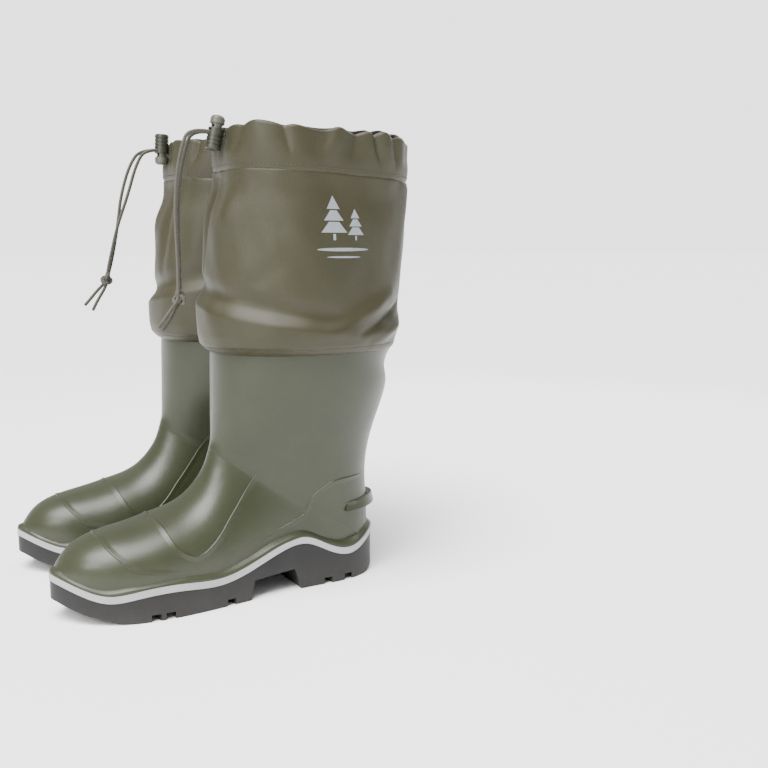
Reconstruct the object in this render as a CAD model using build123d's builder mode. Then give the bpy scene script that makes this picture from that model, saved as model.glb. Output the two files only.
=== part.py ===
"""Pair of insulated hunting boots: rubber feet, fabric gaiters with drawcords, felt liners.

Millimetres. +X points to the toes, +Y to the wearer's left, +Z up. The ground is Z = 0 and the
origin lies midway between the two boots. Each boot is drawn in its own boot frame (X = 0 at the
back of the heel, Y = 0 on the boot's centre line, lateral side towards +Y) and at() places it.
"""

import math
import os

from build123d import *

os.makedirs("parts", exist_ok=True)

# ---------------------------------------------------------------- driving dimensions
PAIR_PITCH = 146.0          # centre line to centre line of the two boots
MIDDLE_X = 134.8            # boot-frame X that lies over the origin
RAND_PROUD = 0.6            # the pale rand stands this far outside the outsole edge
RAND_HALF = 3.0             # half the rand's height
RAND_DEPTH = 2.6            # from the rand's face to its root in the rubber upper
SHELL_WALL = 4.0            # rubber upper
LINER_GAP = 0.6             # air between rubber and liner
LINER_WALL = 6.0            # felt liner
BOARD = 2.0                 # insole board
FOOTBED = 4.0               # loose footbed in the liner
SHAFT_TOP = 219.0           # top edge of the rubber
GAITER_WALL = 2.0
LINING_WALL = 0.8
HEM_BASE_Z = 376.0          # centre of the stitched lower edge of the drawcord hem
HEM_BASE_X = 56.5
HEM_HEIGHT = 38.0
HEM_TILT = 2.8              # degrees, the rim is higher at the toe side
HEM_LENGTH = 171.0
HEM_WIDTH = 130.0
HEM_CORNER = 54.0
HEM_CLOTH = 1.2
HEM_CHANNEL = 4.0
CORD = 3.2                  # drawcord diameter
CORD_GAP = 3.5              # centre distance of the two cord ends side by side
CORD_SIDE = 6.0             # the cord ends leave the hem this far to the lateral side
CORD_DROP = 10.0            # and this far below the rim
LOCK_RADIUS = 6.8
LOCK_TRAVEL = 4.0           # gap under the plunger's head

HALF_PITCH = PAIR_PITCH / 2


def at(x, y, z):
    """A point of the left boot's own frame, in the row's frame."""
    return Vector(x - MIDDLE_X, y + HALF_PITCH, z)


# ---------------------------------------------------------------- the boot's last
# Each station is one cross-section: front (or top) point and back (or bottom) point as (X, Z),
# half-width to the lateral and to the medial side, where along the section it is widest (0 back,
# 1 front), and how square its front and back ends are (2 is an ellipse).
# Shaft stations are level, those of the ankle fan out round a point in front of the instep,
# and those of the forefoot stand upright.
SHAFT = [
    ((154.0, 219.0), (-20.0, 219.0), 67.5, 67.5, 0.50, 2.1, 2.1),
    ((155.5, 190.0), (-15.0, 190.0), 63.0, 63.0, 0.50, 2.1, 2.1),
    ((156.5, 165.0), (-10.5, 165.0), 57.0, 57.0, 0.50, 2.1, 2.1),
]
ANKLE = [
    ((157.3, 152.7), (3.5, 120.0), 49.5, 49.5, 0.48, 2.1, 2.1),
    ((158.2, 142.0), (5.5, 80.4), 43.5, 43.5, 0.44, 2.1, 2.2),
    ((159.5, 135.5), (4.7, 53.2), 39.5, 39.5, 0.40, 2.1, 2.4),
    ((161.3, 129.5), (9.0, 30.0), 37.5, 37.5, 0.36, 2.1, 3.0),
    ((163.0, 124.4), (37.0, 26.0), 36.5, 36.5, 0.33, 2.1, 4.0),
    ((166.5, 114.8), (80.8, 26.0), 37.5, 37.0, 0.33, 2.1, 4.5),
    ((172.3, 104.6), (120.6, 25.0), 41.0, 38.5, 0.33, 2.1, 4.5),
    ((185.0, 91.0), (156.4, 20.0), 47.0, 43.0, 0.33, 2.1, 4.0),
]
FOREFOOT = [
    ((200.5, 83.0), (188.8, 17.0), 50.5, 45.5, 0.33, 2.15, 4.0),
    ((215.0, 79.0), (215.0, 16.5), 51.5, 46.0, 0.33, 2.2, 4.0),
    ((236.0, 74.0), (236.0, 16.5), 50.5, 43.5, 0.34, 2.2, 4.0),
    ((256.0, 70.5), (256.0, 17.5), 46.0, 40.0, 0.35, 2.2, 3.6),
    ((272.0, 66.5), (272.0, 19.5), 39.0, 34.5, 0.37, 2.2, 3.2),
]
TOE = [
    ((284.0, 61.0), (284.0, 22.5), 31.0, 27.0, 0.40, 2.2, 3.0),
    ((293.0, 53.5), (293.0, 26.0), 21.5, 18.5, 0.42, 2.2, 2.6),
]
TOE_END = [
    ((299.0, 46.0), (299.0, 30.0), 12.5, 10.0, 0.46, 2.2, 2.4),
]
LINER_LEG = [
    ((146.5, 300.0), (-17.0, 300.0), 62.5, 62.5, 0.50, 2.1, 2.1),
    ((150.5, 260.0), (-15.5, 260.0), 64.5, 64.5, 0.50, 2.1, 2.1),
]
GAITER = [
    ((142.0, 380.1), (-29.0, 371.8), 65.0, 65.0, 0.50, 2.3, 2.3),
    ((150.5, 345.0), (-31.5, 345.0), 70.0, 70.0, 0.50, 2.2, 2.2),
    ((156.0, 300.0), (-29.5, 300.0), 72.0, 72.0, 0.50, 2.1, 2.1),
    ((158.0, 262.0), (-26.5, 262.0), 72.0, 72.0, 0.50, 2.1, 2.1),
    ((157.5, 235.0), (-24.0, 235.0), 71.5, 71.5, 0.50, 2.1, 2.1),
    ((154.6, 219.4), (-20.6, 219.4), 68.1, 68.1, 0.50, 2.1, 2.1),
]
SECTION_POINTS = 20
EVEN_STEPS = [step / SECTION_POINTS for step in range(SECTION_POINTS + 1)]
HEEL_STATION = ANKLE[3]


def station_plane(front, back):
    """A section's plane: its origin is the back point and its X runs to the front point."""
    along = Vector(front[0] - back[0], 0, front[1] - back[1])
    return Plane(origin=at(back[0], 0, back[1]), x_dir=along, z_dir=along.cross(Vector(0, 1, 0)))


def moved_in(station, side, floor):
    """The station's ends and half-widths for a surface that lies inside the boot's outside.

    side is the distance in from the walls and floor the distance in from the sole.
    """
    front, back, lateral, medial, widest, front_power, back_power = station
    chord = Vector(front[0] - back[0], 0, front[1] - back[1])
    slope = math.atan2(chord.Z, chord.X)
    on_floor = back[1] < 50
    back_in = floor / math.sin(slope) if on_floor else side / math.cos(slope)
    way = chord.normalized()
    front_in = (front[0] - way.X * side, front[1] - way.Z * side)
    back_in = (back[0] + way.X * back_in, back[1] + way.Z * back_in)
    return front_in, back_in, lateral - side, medial - side, widest, front_power, back_power


def section_points(length, lateral, medial, widest, front_power, back_power):
    """Points round one section: two half superellipses that meet where it is widest."""
    points = []
    for step in range(SECTION_POINTS):
        angle = 2 * math.pi * step / SECTION_POINTS
        cosine = math.cos(angle)
        sine = math.sin(angle)
        power = front_power if cosine >= 0 else back_power
        reach = length * (1 - widest) if cosine >= 0 else length * widest
        width = lateral if sine >= 0 else medial
        along = math.copysign(abs(cosine) ** (2 / power), cosine)
        across = math.copysign(abs(sine) ** (2 / power), sine)
        points.append((length * widest + reach * along, width * across))
    return points


def form(stations, side=0.0, floor=0.0, tip=None):
    """The closed form lofted through the stations, moved in from the outside by side and floor.

    A whole boot is lofted in two lengths, leg and foot, that share the station at the heel.
    """
    faces = []
    for station in stations:
        front, back, lateral, medial, *shape = moved_in(station, side, floor)
        length = math.dist(front, back)
        with BuildSketch(station_plane(front, back)) as outline:
            with BuildLine():
                points = section_points(length, lateral, medial, *shape)
                add(Edge.make_spline(points, periodic=True, parameters=EVEN_STEPS))
            make_face()
        faces.append(outline.sketch.face())
    if tip is not None:
        faces.append(Vertex(*at(*tip)))
    seam = stations.index(HEEL_STATION) if HEEL_STATION in stations else len(stations) - 1
    with BuildPart() as solid:
        loft(faces[:seam + 1])
        if seam < len(stations) - 1:
            loft(faces[seam:])
    return solid.part


FOOT = ANKLE + FOREFOOT + TOE
shell_form = form(SHAFT + FOOT + TOE_END, tip=(302.6, 1.0, 37.5))


# ---------------------------------------------------------------- saving
def save(part, name):
    part.label = name
    export_step(part, f"parts/{name}.step")
    print(f"{name:28s} volume {part.volume:12.1f}")


def save_mirrored(part, name):
    """Write the right boot's piece, which is the left one's mirror image."""
    with BuildPart() as twin:
        mirror(part, about=Plane.XZ)
    save(twin.part, name)


def save_pair(part, name):
    save(part, f"left_{name}")
    save_mirrored(part, f"right_{name}")


# ---------------------------------------------------------------- outsole and rand
# The outsole's edge seen from above, from the heel along the lateral side and back.
SOLE_EDGE = [
    (0, 0), (8, 23), (30, 37.5), (80, 41.5), (125, 45), (165, 50.5), (208, 54.3), (250, 50),
    (282, 34.5), (300, 15), (305, 2), (300, -11), (286, -27), (255, -43), (212, -49), (170, -45.5),
    (130, -42), (80, -40.5), (30, -36.5), (8, -22),
]
# Height of the rand's centre line along the boot.
RAND_LINE = [
    (-12, 41), (12, 38), (36, 28.5), (60, 34), (86, 45.5), (113, 41), (140, 31), (170, 24),
    (205, 26), (245, 24.5), (268, 22.5), (285, 28), (303, 36.5), (318, 41),
]
ARCH_BACK = 92.0
ARCH_FRONT = 138.0
ARCH_BACK_Z = 20.0
ARCH_FRONT_Z = 17.5
TREAD_DEPTH = 6.0


def outline_plane(z):
    return Plane(origin=at(0, 0, z))


def side_plane():
    """An upright plane along the boot, with X to the toe and Y up."""
    return Plane(origin=at(0, 0, 0), x_dir=(1, 0, 0), z_dir=(0, -1, 0))


def grown(points, grow):
    """A closed edge's points, each moved out by grow, square to the line between its neighbours."""
    moved = []
    for before, here, after in zip(points[-1:] + points, points, points[1:] + points[:1]):
        run = math.dist(before, after)
        out_x = -(after[1] - before[1]) / run
        out_y = (after[0] - before[0]) / run
        moved.append((here[0] + out_x * grow, here[1] + out_y * grow))
    return moved


def sole_sketch(grow=0.0):
    """The sole's edge as a face on the ground, moved out by grow."""
    with BuildSketch(outline_plane(0)) as edge:
        with BuildLine():
            Spline(*grown(SOLE_EDGE, grow), periodic=True)
        make_face()
    return edge.sketch


def rand_curve(lift):
    """The rand's line as a list of points, moved up by lift."""
    return [(x, z + lift) for x, z in RAND_LINE]


with BuildPart() as outsole:
    extrude(sole_sketch(), amount=60)
    with BuildSketch(side_plane()):
        with BuildLine():
            top = Spline(*rand_curve(-RAND_HALF))
            Polyline(top @ 1, (318, 22), (302, 17.5))
            Spline((302, 17.5), (291, 12), (270, 5), (242, 0), tangents=((-1, -0.5), (-1, 0)))
            Polyline((242, 0), (142, 0), (ARCH_FRONT, ARCH_FRONT_Z), (ARCH_BACK + 5, ARCH_BACK_Z))
            Polyline((ARCH_BACK + 5, ARCH_BACK_Z), (ARCH_BACK - 2, 0), (20, 0), (4, 5), (-12, 10))
            Line((-12, 10), top @ 0)
        make_face()
    extrude(amount=90, both=True, mode=Mode.INTERSECT)
    add(shell_form, mode=Mode.SUBTRACT)
    # grooves across the tread between the lugs, those of the heel and those of the forefoot
    for groove_x, groove_turn in (
        (35, -8), (68, 8), (172, 12), (206, -12), (241, 12), (272, -12),
    ):
        with BuildSketch(outline_plane(0)):
            with Locations(Location((groove_x, 0, 0), (0, 0, groove_turn))):
                Rectangle(8, 130)
        extrude(amount=TREAD_DEPTH, mode=Mode.SUBTRACT)
    # grooves along the tread
    with BuildSketch(outline_plane(0)):
        with Locations((220, 3), (55, 1)):
            Rectangle(130, 7)
    extrude(amount=TREAD_DEPTH - 1.5, mode=Mode.SUBTRACT)
save_pair(outsole.part, "outsole")

with BuildPart() as rand:
    extrude(sole_sketch(RAND_PROUD), amount=60)
    with BuildSketch(side_plane()):
        with BuildLine():
            low = Spline(*rand_curve(-RAND_HALF))
            high = Spline(*rand_curve(RAND_HALF))
            Line(low @ 0, high @ 0)
            Line(low @ 1, high @ 1)
        make_face()
    extrude(amount=90, both=True, mode=Mode.INTERSECT)
    extrude(sole_sketch(RAND_PROUD - RAND_DEPTH), amount=60, mode=Mode.SUBTRACT)
save_pair(rand.part, "rand")

# ---------------------------------------------------------------- rubber upper
CAVITY_TIP = (294.0, 1.0, 41.0)
CAVITY_TOP = [((154.0, 240.0), (-20.0, 240.0), 67.5, 67.5, 0.50, 2.1, 2.1)]
cavity = form(CAVITY_TOP + SHAFT + FOOT, SHELL_WALL, SHELL_WALL, CAVITY_TIP)

with BuildPart() as shell:
    add(shell_form)
    # kick-off spur: a ledge that stands out behind the heel
    with BuildSketch(Plane(origin=at(0, 0, 66))):
        with BuildLine():
            Spline((42, 39.5), (20, 33.5), (3, 20), (-6, 0), (3, -19), (20, -32), (42, -38.5))
            Line((42, -38.5), (42, 39.5))
        make_face()
    extrude(amount=9, taper=14)
    add(cavity, mode=Mode.SUBTRACT)
save_pair(shell.part, "shell")

# ---------------------------------------------------------------- insole board, liner, footbed
FLOOR_LINE = [(0, 26), (37, 26), (80, 26), (120, 25), (156, 20), (189, 17), (236, 16.5), (300, 30)]


def floor_band(low, high):
    """A layer that follows the sole's upper face, from low to high above it."""
    with BuildPart() as band:
        with BuildSketch(side_plane()):
            with BuildLine():
                under = Spline(*[(x, z + low) for x, z in FLOOR_LINE])
                over = Spline(*[(x, z + high) for x, z in FLOOR_LINE])
                Line(under @ 0, over @ 0)
                Line(under @ 1, over @ 1)
            make_face()
        extrude(amount=70, both=True)
    return band.part


BOARD_LOW = SHELL_WALL + 0.6
BOARD_FRONT = 262.0
LINER_SIDE = SHELL_WALL + LINING_WALL + LINER_GAP
LINER_FLOOR = BOARD_LOW + BOARD + 1.6
LINER_TIP = (289.0, 1.0, 41.5)
FOOT_IN_TIP = (278.0, 1.0, 44.0)
LINER_SOLE = LINER_FLOOR + LINER_WALL
LINER_STATIONS = LINER_LEG + SHAFT + ANKLE + FOREFOOT

with BuildPart() as insole_board:
    add(form(SHAFT + FOOT, SHELL_WALL + 0.3, SHELL_WALL + 0.3, CAVITY_TIP))
    add(floor_band(BOARD_LOW, BOARD_LOW + BOARD), mode=Mode.INTERSECT)
    split(bisect_by=Plane(origin=at(BOARD_FRONT, 0, 0), z_dir=(1, 0, 0)), keep=Keep.BOTTOM)
save_pair(insole_board.part, "insole_board")

with BuildPart() as liner:
    add(form(LINER_STATIONS + TOE[:1], LINER_SIDE, LINER_FLOOR, LINER_TIP))
    lifted = [((145.5, 310.0), (-17.4, 310.0), 62.0, 62.0, 0.50, 2.1, 2.1)] + LINER_STATIONS
    add(form(lifted, LINER_SIDE + LINER_WALL, LINER_SOLE, FOOT_IN_TIP), mode=Mode.SUBTRACT)
save_pair(liner.part, "liner")

BED_LOW = LINER_SOLE + 0.8
with BuildPart() as footbed:
    add(form(SHAFT + ANKLE + FOREFOOT, LINER_SIDE + LINER_WALL + 0.4, LINER_SOLE + 0.4, FOOT_IN_TIP))
    add(floor_band(BED_LOW, BED_LOW + FOOTBED), mode=Mode.INTERSECT)
save_pair(footbed.part, "footbed")

# ---------------------------------------------------------------- gaiter and its lining
gaiter_form = form(GAITER)
OVER = [((141.6, 392.1), (-28.6, 383.7), 65.0, 65.0, 0.50, 2.3, 2.3)]
UNDER = [((154.0, 209.0), (-20.0, 209.0), 67.5, 67.5, 0.50, 2.1, 2.1)]
with BuildPart() as gaiter:
    add(gaiter_form)
    add(form(OVER + GAITER + UNDER, GAITER_WALL, GAITER_WALL), mode=Mode.SUBTRACT)
save_pair(gaiter.part, "gaiter")

tilt = math.radians(HEM_TILT)
hem_plane = Plane(
    origin=at(HEM_BASE_X, 0, HEM_BASE_Z),
    x_dir=(math.cos(tilt), 0, math.sin(tilt)),
    z_dir=(-math.sin(tilt), 0, math.cos(tilt)),
)
LINING_OUT = GAITER_WALL + 0.1
LINING_IN = LINING_OUT + LINING_WALL
with BuildPart() as gaiter_lining:
    add(form(OVER + GAITER + UNDER, LINING_OUT, LINING_OUT))
    add(form(OVER + GAITER + UNDER, LINING_IN, LINING_IN), mode=Mode.SUBTRACT)
    split(bisect_by=hem_plane.offset(-0.2), keep=Keep.BOTTOM)
    split(bisect_by=Plane(origin=at(0, 0, SHAFT_TOP + 0.5)), keep=Keep.TOP)
save_pair(gaiter_lining.part, "gaiter_lining")

# ---------------------------------------------------------------- drawcord hem
HEM_FRONT = HEM_LENGTH / 2
CORD_HEIGHT = HEM_HEIGHT - CORD_DROP


def hem_ring(depth_out, depth_in):
    """Rounded outlines at two depths in from the hem's outside."""
    for depth, way in ((depth_out, Mode.ADD), (depth_in, Mode.SUBTRACT)):
        RectangleRounded(
            HEM_LENGTH - 2 * depth, HEM_WIDTH - 2 * depth, HEM_CORNER - depth, mode=way
        )


HEM_DEPTH = 2 * HEM_CLOTH + HEM_CHANNEL
with BuildPart() as hem:
    with BuildSketch(hem_plane):
        hem_ring(0, HEM_DEPTH)
    extrude(amount=HEM_HEIGHT)
    with BuildSketch(hem_plane.offset(3)):
        hem_ring(HEM_CLOTH, HEM_DEPTH - HEM_CLOTH)
    extrude(amount=HEM_HEIGHT - 3 - HEM_CLOTH, mode=Mode.SUBTRACT)
    with BuildSketch(Plane(
        origin=hem_plane.from_local_coords((HEM_FRONT - 2.5, CORD_SIDE, CORD_HEIGHT)),
        x_dir=(0, 1, 0), z_dir=hem_plane.x_dir,
    )):
        Circle(4.3)
    extrude(amount=5, mode=Mode.SUBTRACT)
save_pair(hem.part, "hem")

eyelet_axis = Plane(
    origin=hem_plane.from_local_coords((HEM_FRONT, CORD_SIDE, CORD_HEIGHT)),
    x_dir=(0, 1, 0), z_dir=hem_plane.x_dir,
)
EYELET_HOLE = 3.6
EYELET_CLENCH = 0.2
with BuildPart() as eyelet:
    with BuildSketch(eyelet_axis.offset(-HEM_CLOTH - EYELET_CLENCH)):
        Circle(4.6)
        Circle(EYELET_HOLE, mode=Mode.SUBTRACT)
    extrude(amount=EYELET_CLENCH)
    with BuildSketch(eyelet_axis.offset(-HEM_CLOTH)):
        Circle(4.2)
        Circle(EYELET_HOLE, mode=Mode.SUBTRACT)
    extrude(amount=HEM_CLOTH)
    with BuildSketch(eyelet_axis):
        Circle(5.8)
        Circle(EYELET_HOLE, mode=Mode.SUBTRACT)
    extrude(amount=0.7)
save_pair(eyelet.part, "eyelet")

# ---------------------------------------------------------------- name label at the back seam
LABEL_TIP = -36.0
with BuildPart() as label:
    with BuildSketch(side_plane()):
        with Locations((LABEL_TIP, 235)):
            Rectangle(20, 27, align=(Align.MIN, Align.MIN))
    extrude(amount=0.7, both=True)
    add(gaiter_form, mode=Mode.SUBTRACT)
save_pair(label.part, "label")

# ---------------------------------------------------------------- drawcord and its lock
# Each cord end as a hand-set route in the boot frame: out of the eyelet, straight through the
# lock, over in an arc and down to the knot. hang is the way the knot hangs, spread the way in
# which the two ends lie side by side at the knot.
LEFT_CORD = {
    "rise": 12.0,
    "lock_out": 9.6,
    "plunger": 1,
    "a": [(173.5, 8.0), (182.0, 6.5, 394.0), (185.5, 3.0, 368.0), (186.0, -0.5, 338.0)],
    "b": [(169.5, 4.0), (177.0, 2.0, 393.0), (181.5, -1.0, 367.0), (182.5, -4.0, 338.0)],
    "knot": (182.5, -5.5, 274.0),
    "hang": (0.0, 0.0, -1.0),
    "spread": (0.66, 0.75, 0.0),
    "drop": 32.0,
    "tail_a": [(184.5, -4.0, 265.5), (190.5, -5.0, 258.0), (195.5, -7.0, 250.0), (201.0, -9.0, 242.5)],
    "tail_b": [(182.0, -7.8, 264.0), (187.0, -8.8, 255.5), (191.0, -10.0, 247.0), (196.5, -11.5, 239.5)],
}
RIGHT_CORD = {
    "rise": 3.0,
    "lock_out": 8.2,
    "plunger": -1,
    "a": [(168.5, 8.2), (181.0, 9.0, 393.0), (190.5, 10.0, 362.0), (194.0, 11.5, 335.0)],
    "b": [(165.0, 4.2), (175.5, 4.5, 393.5), (185.0, 5.0, 362.0), (195.5, 6.5, 334.0)],
    "knot": (205.2, 13.0, 286.0),
    "hang": (0.22, 0.08, -0.972),
    "spread": (-0.66, 0.74, -0.09),
    "drop": 24.0,
    "tail_a": [(209.0, 15.8, 275.5), (216.5, 17.0, 268.0), (222.5, 18.0, 260.5), (228.0, 19.0, 254.3)],
    "tail_b": [(207.2, 12.2, 275.0), (212.0, 13.0, 266.5), (217.5, 13.5, 257.5), (221.6, 14.0, 249.3)],
}
KNOT_LENGTH = 12.0
KNOT_SPREAD = 1.85
LOCK_LOW = -15.3            # barrel's foot, measured from the middle of its cord slot
LOCK_HIGH = 3.7             # barrel's rim
LOCK_FLOOR = 2.0
BORE = 5.1
STEM = 5.0
SLOT_WIDTH = 7.5


def corner_radii(points):
    """The largest arc at each corner of a route: 0.45 of the shorter run either side."""
    radii = []
    for before, corner, after in zip(points, points[1:], points[2:]):
        turn = math.radians((corner - before).get_angle(after - corner))
        shorter = min((corner - before).length, (after - corner).length)
        radii.append(0.45 * shorter / math.tan(turn / 2))
    return radii


def tube(points, radii, name):
    """A round cord along straight runs joined by tangent arcs."""
    with BuildPart() as cord:
        with BuildLine() as path:
            FilletPolyline(*points, radius=radii)
        with BuildSketch(Plane(origin=path.line @ 0, z_dir=path.line % 0)):
            Circle(CORD / 2)
        sweep()
    length = path.wires()[0].length
    share = cord.part.volume / (math.pi * CORD**2 / 4 * length)
    print(f"{name}: length {length:.1f}, volume share {share:.4f}, least radius {min(radii):.1f}")
    return cord.part


def closure(side, data):
    """The drawcord loop, both free ends, the knot and the cord lock of one boot."""
    store = save if side == "left" else save_mirrored
    rise = math.radians(data["rise"])
    outward = Vector(math.cos(rise), 0, math.sin(rise))
    upward = Vector(-math.sin(rise), 0, math.cos(rise))
    middle = hem_plane.from_local_coords((HEM_FRONT, CORD_SIDE, CORD_HEIGHT))
    reach = 0.9                       # the free ends start at the eyelet's outer face
    depth = HEM_CLOTH + HEM_CHANNEL / 2 + 0.38
    half_long = HEM_FRONT - depth
    half_wide = HEM_WIDTH / 2 - depth
    turn = HEM_CORNER - depth

    def end_point(shift, along):
        return middle + Vector(0, shift, 0) + outward * along

    # the loop inside the hem, whose two ends turn out through the eyelet
    inner = (hem_plane.from_local_coords((half_long, CORD_SIDE, CORD_HEIGHT)) - middle).length
    loop_points = [
        end_point(CORD_GAP / 2, reach),
        end_point(CORD_GAP / 2, -inner),
        hem_plane.from_local_coords((half_long, half_wide, CORD_HEIGHT)),
        hem_plane.from_local_coords((-half_long, half_wide, CORD_HEIGHT)),
        hem_plane.from_local_coords((-half_long, -half_wide, CORD_HEIGHT)),
        hem_plane.from_local_coords((half_long, -half_wide, CORD_HEIGHT)),
        end_point(-CORD_GAP / 2, -inner),
        end_point(-CORD_GAP / 2, reach),
    ]
    small = 3.2
    loop = tube(loop_points, [small, turn, turn, turn, turn, small], f"{side}_drawcord_loop")
    store(loop, f"{side}_drawcord_loop")

    # the two free ends down to the knot, and the tails that start inside it
    hang = Vector(*data["hang"]).normalized()
    spread = Vector(*data["spread"])
    spread = (spread - hang * spread.dot(hang)).normalized()
    knot_top = at(*data["knot"])
    for end, sign in (("a", 1), ("b", -1)):
        first = end_point(sign * CORD_GAP / 2, reach)
        bend_x, bend_y = data[end][0]
        run = (at(bend_x, 0, 0).X - first.X) / outward.X
        bend = Vector(first.X, 0, first.Z) + outward * run
        foot = knot_top + spread * sign * KNOT_SPREAD
        route = [first, Vector(bend.X, first.Y, bend.Z)]
        route += [at(*point) for point in data[end][1:]]
        route += [foot - hang * data["drop"], foot]
        strand = tube(route, corner_radii(route), f"{side}_cord_{end}")
        store(strand, f"{side}_cord_{end}")
        tail_route = [at(*point) for point in data[f"tail_{end}"]]
        tail = tube(tail_route, corner_radii(tail_route), f"{side}_tail_{end}")
        store(tail, f"{side}_tail_{end}")

    with BuildPart() as knot:
        axis = Plane(origin=knot_top, x_dir=spread, z_dir=hang)
        with BuildSketch(Plane(origin=knot_top, x_dir=spread, z_dir=axis.y_dir * -1)):
            with BuildLine():
                Polyline((0, KNOT_LENGTH), (0, 0), (4.0, 0))
                Spline((4.0, 0), (6.4, 3.4), (6.4, 8.6), (4.0, KNOT_LENGTH))
                Line((4.0, KNOT_LENGTH), (0, KNOT_LENGTH))
            make_face()
        revolve(axis=Axis(knot_top, hang))
    store(knot.part, f"{side}_knot")

    # cord lock: local X along the cord, local Z towards the plunger's head
    lock = Plane(
        origin=middle + outward * data["lock_out"],
        x_dir=outward,
        z_dir=upward * data["plunger"],
    )
    way = upward * data["plunger"]
    centre = lock.origin
    print(f"{side} lock centre {centre}, cord way {outward}, press way {way * -1}")

    with BuildPart() as barrel:
        with BuildSketch(lock.offset(LOCK_LOW)):
            Circle(LOCK_RADIUS)
        extrude(amount=LOCK_HIGH - LOCK_LOW)
        fillet(barrel.edges().group_by(Axis(centre, way))[0], 1.6)
        fillet(barrel.edges().group_by(Axis(centre, way))[-1], 0.6)
        for groove in (-11.5, -8.0, -4.5):
            with BuildSketch(lock.offset(groove)):
                Circle(LOCK_RADIUS + 1)
                Circle(LOCK_RADIUS - 0.5, mode=Mode.SUBTRACT)
            extrude(amount=1.2, mode=Mode.SUBTRACT)
        with BuildSketch(lock.offset(LOCK_LOW + LOCK_FLOOR)):
            Circle(BORE)
        extrude(amount=30, mode=Mode.SUBTRACT)
        with BuildSketch(lock.offset(-2.0)):
            Rectangle(20, SLOT_WIDTH)
        extrude(amount=4.0, mode=Mode.SUBTRACT)
    store(barrel.part, f"{side}_lock_barrel")

    stem_low = -5.8
    head_low = LOCK_HIGH + LOCK_TRAVEL
    with BuildPart() as plunger:
        with BuildSketch(lock.offset(stem_low)):
            Circle(STEM)
        extrude(amount=head_low - stem_low)
        with BuildSketch(lock.offset(head_low)):
            Circle(LOCK_RADIUS - 0.5)
        extrude(amount=7.0)
        fillet(plunger.edges().group_by(Axis(centre, way))[-1], 3.4)
        with BuildSketch(lock.offset(-1.9)):
            Rectangle(20, SLOT_WIDTH - 0.1)
        extrude(amount=8.2, mode=Mode.SUBTRACT)
    store(plunger.part, f"{side}_lock_plunger")

    wire = 0.4
    spring_low = LOCK_LOW + LOCK_FLOOR + wire + 0.05
    spring_high = stem_low - wire - 0.05
    with BuildPart() as spring:
        with BuildLine() as turns:
            Helix(
                pitch=(spring_high - spring_low) / 4,
                height=spring_high - spring_low,
                radius=3.6,
                center=lock.offset(spring_low).origin,
                direction=way,
            )
        with BuildSketch(Plane(origin=turns.line @ 0, z_dir=turns.line % 0)):
            Circle(wire)
        sweep(is_frenet=True)
    store(spring.part, f"{side}_lock_spring")


closure("left", LEFT_CORD)
closure("right", RIGHT_CORD)
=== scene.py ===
"""A pair of insulated hunting boots: moulded rubber feet, cloth gaiters with drawcords, felt liners."""

from math import cos, pi, radians, sin

import bmesh
import bpy
import numpy as np
from mathutils import Matrix, Vector
from mathutils.bvhtree import BVHTree


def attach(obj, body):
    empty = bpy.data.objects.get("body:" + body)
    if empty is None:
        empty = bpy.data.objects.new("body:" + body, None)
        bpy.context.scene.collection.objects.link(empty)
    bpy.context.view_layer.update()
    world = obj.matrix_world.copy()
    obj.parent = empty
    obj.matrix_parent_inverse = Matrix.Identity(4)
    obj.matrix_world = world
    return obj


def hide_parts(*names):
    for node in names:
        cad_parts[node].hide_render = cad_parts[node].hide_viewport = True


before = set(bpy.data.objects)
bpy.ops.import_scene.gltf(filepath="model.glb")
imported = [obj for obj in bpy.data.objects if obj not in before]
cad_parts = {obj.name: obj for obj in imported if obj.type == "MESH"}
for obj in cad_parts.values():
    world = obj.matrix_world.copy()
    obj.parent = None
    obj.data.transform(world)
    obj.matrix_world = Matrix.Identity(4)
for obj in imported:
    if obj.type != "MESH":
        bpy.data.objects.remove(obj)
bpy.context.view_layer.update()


# ---- Studio -------------------------------------------------------------------------------------
# A white floor in a pale room: a large key lamp at the toe side, a weak lamp behind the heels and a wide
# soft light from above. The camera stands at the near boot's outer side, a little under its rim.
camera = bpy.data.objects.new("camera", bpy.data.cameras.new("camera"))
camera.data.lens = 45.47
camera.data.sensor_width = 36
camera.location = (0.3195, 0.8975, 0.3131)
camera.rotation_euler = Vector((-0.4950, -0.8574, -0.1409)).to_track_quat("-Z", "Y").to_euler()
bpy.context.collection.objects.link(camera)
bpy.context.scene.camera = camera

world = bpy.data.worlds.new("pale_room")
bpy.context.scene.world = world
world.use_nodes = True
world.node_tree.nodes["Background"].inputs["Color"].default_value = (1, 1, 1, 1)
ROOM_LIGHT, ROOM_SEEN = 0.62, 2.6
seen = world.node_tree.nodes.new("ShaderNodeLightPath").outputs["Is Camera Ray"]
room = world.node_tree.nodes.new("ShaderNodeMapRange")
room.inputs["To Min"].default_value = ROOM_LIGHT
room.inputs["To Max"].default_value = ROOM_SEEN
world.node_tree.links.new(seen, room.inputs["Value"])
world.node_tree.links.new(room.outputs["Result"], world.node_tree.nodes["Background"].inputs["Strength"])


def lamp(name, place, aim, width, power):
    """A square soft lamp of that width, pointing at aim."""
    light = bpy.data.lights.new(name, "AREA")
    light.shape = "SQUARE"
    light.size = width
    light.energy = power
    obj = bpy.data.objects.new(name, light)
    obj.location = place
    obj.rotation_euler = (Vector(aim) - Vector(place)).to_track_quat("-Z", "Y").to_euler()
    bpy.context.collection.objects.link(obj)


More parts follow.
